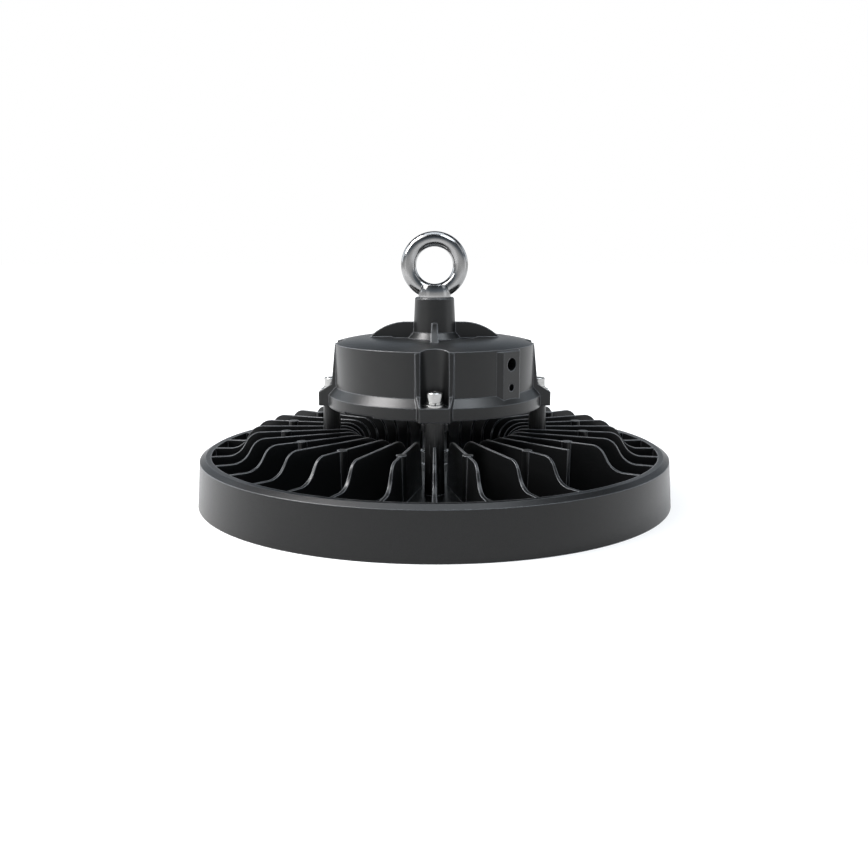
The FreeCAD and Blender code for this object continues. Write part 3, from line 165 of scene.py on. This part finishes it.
solder_mask = surface("white_solder_mask", (0.78, 0.79, 0.78), 0.3, mottle=0.03,
                      grain=0.6 * MM, grain_depth=0.003 * MM)
phosphor = surface("led_phosphor", (0.85, 0.62, 0.12), 0.35, mottle=0.08,
                   mottle_size=1 * MM, grain=0.1 * MM, grain_depth=0.004 * MM)
clear_plastic = surface("clear_polycarbonate", (0.93, 0.95, 0.95), 0.08, mottle=0.02,
                        grain=0.8 * MM, grain_depth=0.002 * MM, rough_spread=0.03,
                        **{"Transmission Weight": 0.9, "IOR": 1.58})

FINISHES = {
    black_coat: ["driver_housing", "base_plate", "lens_ring"],
    fin_coat_painted_shade: ["heat_sink"],
    polished: ["eye_bolt"],
    zinc: ["base_plate_screws", "driver_screws", "eye_bolt_washer", "eye_bolt_nut",
           "housing_screws", "spring_washers", "flat_washers", "board_screws", "board_nuts",
           "lens_screws"],
    nickel: ["lower_gland_body", "lower_gland_nut", "lower_lock_nut", "lead_conduit",
             "upper_lock_nut"],
    gland_coat: ["upper_gland_nut", "upper_gland_body"],
    rubber: ["base_plate_seal", "eye_bolt_seal", "lower_gland_seal", "lens_seal"],
    bare_aluminium: ["led_driver"],
    black_plastic: ["terminal_block"],
    white_plastic: ["board_connector"],
    jacket: ["driver_lead", "lead_cores"],
    solder_mask: ["led_board"],
    phosphor: ["led_chips"],
    clear_plastic: ["lens_plate"],
}
for material, names in FINISHES.items():
    for name in names:
        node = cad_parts[name]
        node.data.materials.clear()
        node.data.materials.append(material)

# ---------------------------------------------------------------- studio


def area_light(name, place, target, size, energy, colour=(1, 1, 1)):
    """A soft rectangular lamp at `place` that faces `target`."""
    lamp = bpy.data.lights.new(name, "AREA")
    lamp.shape = "RECTANGLE"
    lamp.size, lamp.size_y = size
    lamp.energy = energy
    lamp.color = colour
    obj = bpy.data.objects.new(name, lamp)
    obj.location = place
    facing = [t - p for t, p in zip(target, place)]
    obj.rotation_euler = Vector(facing).to_track_quat("-Z", "Y").to_euler()
    bpy.context.scene.collection.objects.link(obj)
    return obj


LAMP_DISTANCE = 1.35
MIDDLE = (0, 0, 0.08)
# Each lamp's name, azimuth and elevation in degrees, side in metres, power in watts and colour.
LAMPS = (
    ("left_front", -140, 5, 0.60, 0.5, (1.0, 0.985, 0.97)),
    ("right_low", -8, 5, 0.60, 0.9, (0.95, 0.97, 1.0)),
    ("left_high", -172, 35, 0.50, 13.0, (1.0, 0.99, 0.98)),
    ("right_high", -8, 35, 0.50, 0.8, (0.95, 0.97, 1.0)),
    ("left_roof", -178, 56, 0.50, 21.0, (1.0, 0.98, 0.98)),
    ("left_top", -150, 60, 0.50, 3.5, (1.0, 0.99, 0.99)),
    ("right_roof", -8, 60, 0.50, 2.6, (0.88, 0.94, 1.0)),
    ("right_front", -40, 60, 0.50, 7.5, (0.88, 0.94, 1.0)),
    ("top", 90, 84, 0.90, 7.5, (0.88, 0.94, 1.0)),
    ("back_left", 150, 20, 0.60, 2.6, (0.88, 0.94, 1.0)),
    ("back_right", 30, 20, 0.60, 1.6, (0.88, 0.94, 1.0)),
)
for name, azimuth, elevation, size, energy, colour in LAMPS:
    turn, rise = math.radians(azimuth), math.radians(elevation)
    place = (
        LAMP_DISTANCE * math.cos(rise) * math.cos(turn),
        LAMP_DISTANCE * math.cos(rise) * math.sin(turn),
        MIDDLE[2] + LAMP_DISTANCE * math.sin(rise),
    )
    area_light(name, place, MIDDLE, (size, size), energy, colour).visible_camera = False

# The walls and ceiling of the studio, by the upward share of the direction to them.
STUDIO_WALLS = (
    (0.0, (0.51, 0.57, 0.63, 1)),
    (0.3, (0.28, 0.325, 0.375, 1)),
    (0.6, (0.074, 0.084, 0.095, 1)),
    (1.0, (0.034, 0.038, 0.045, 1)),
)
BACKDROP_TOP, BACKDROP_FADED = 0.05, 0.25  # the backdrop's upper edge, as reflections show it


def add_studio():
    """Dim walls that light the object, and the white backdrop that the camera and mirrors see."""
    world = bpy.data.worlds.new("studio")
    bpy.context.scene.world = world
    world.use_nodes = True
    sky = world.node_tree
    sky.nodes.clear()
    way = add_node(sky, "ShaderNodeTexCoord").outputs["Generated"]
    upward = add_node(sky, "ShaderNodeSeparateXYZ", {0: way}).outputs["Z"]
    walls = add_node(sky, "ShaderNodeValToRGB", {"Fac": upward})
    ramp = walls.color_ramp
    for position, colour in STUDIO_WALLS[1:-1]:
        ramp.elements.new(position).color = colour
    for end, (position, colour) in ((0, STUDIO_WALLS[0]), (-1, STUDIO_WALLS[-1])):
        ramp.elements[end].position = position
        ramp.elements[end].color = colour
    mirrored = add_node(
        sky,
        "ShaderNodeMath",
        {
            0: seen_ray(sky, ("Is Glossy Ray", "Is Transmission Ray")),
            1: between(sky, upward, 1, 0, BACKDROP_TOP, BACKDROP_FADED),
        },
        operation="MULTIPLY",
    )
    white = add_node(
        sky,
        "ShaderNodeMath",
        {0: seen_ray(sky, ("Is Camera Ray",)), 1: mirrored.outputs["Value"]},
        operation="MAXIMUM",
    )
    backdrop = add_node(
        sky,
        "ShaderNodeMix",
        {"Factor": white.outputs["Value"], "A": walls.outputs["Color"]},
        data_type="RGBA",
    )
    backdrop.inputs["B"].default_value = WHITE
    background = add_node(
        sky,
        "ShaderNodeBackground",
        {"Color": backdrop.outputs["Result"], "Strength": 1.0},
    )
    output = add_node(sky, "ShaderNodeOutputWorld")
    sky.links.new(background.outputs["Background"], output.inputs["Surface"])


add_studio()

FLOOR_HALF = 6.0
FLOOR_COLOUR = (0.42, 0.42, 0.42, 1)
GLOW_NEAR, GLOW_FAR = 0.62, 1.0  # what is added to the floor where it is seen
NEAR, FAR = 0.2, 0.6  # how far from the middle the glow starts and stops rising, in metres


def white_paper():
    """Matt paper that is seen as white and still takes the object's shadow."""
    paper = bpy.data.materials.new("white_paper")
    paper.use_nodes = True
    tree = paper.node_tree
    tree.nodes.clear()
    place = add_node(tree, "ShaderNodeTexCoord").outputs["Object"]
    distance = add_node(tree, "ShaderNodeVectorMath", {0: place}, operation="LENGTH")
    seen = seen_ray(tree, ("Is Camera Ray", "Is Glossy Ray", "Is Transmission Ray"))
    glow = between(tree, distance.outputs["Value"], GLOW_NEAR, GLOW_FAR, NEAR, FAR)
    lift = add_node(tree, "ShaderNodeMath", {0: seen, 1: glow}, operation="MULTIPLY")
    matt = add_node(tree, "ShaderNodeBsdfDiffuse", {"Color": FLOOR_COLOUR})
    glowing = add_node(
        tree,
        "ShaderNodeEmission",
        {"Color": WHITE, "Strength": lift.outputs["Value"]},
    )
    both = add_node(tree, "ShaderNodeAddShader")
    tree.links.new(matt.outputs["BSDF"], both.inputs[0])
    tree.links.new(glowing.outputs["Emission"], both.inputs[1])
    output = add_node(tree, "ShaderNodeOutputMaterial")
    tree.links.new(both.outputs["Shader"], output.inputs["Surface"])
    return paper


floor_mesh = bpy.data.meshes.new("floor")
floor_mesh.from_pydata(
    [(-FLOOR_HALF, -FLOOR_HALF, 0), (FLOOR_HALF, -FLOOR_HALF, 0),
     (FLOOR_HALF, FLOOR_HALF, 0), (-FLOOR_HALF, FLOOR_HALF, 0)],
    [],
    [(0, 1, 2, 3)],
)
floor_mesh.materials.append(white_paper())
floor = bpy.data.objects.new("floor", floor_mesh)
bpy.context.scene.collection.objects.link(floor)

CAMERA_PLACE = (0, -0.72557, 0.18075)
CAMERA_PITCH = 10.73
CAMERA_LENS = 43.27
CAMERA_SHIFT = -0.00063
lens = bpy.data.cameras.new("camera")
lens.lens = CAMERA_LENS
lens.shift_x = CAMERA_SHIFT
camera = bpy.data.objects.new("camera", lens)
camera.location = CAMERA_PLACE
camera.rotation_euler = (math.radians(90 - CAMERA_PITCH), 0, 0)
bpy.context.scene.collection.objects.link(camera)
bpy.context.scene.camera = camera
bpy.context.scene.view_settings.view_transform = "Standard"
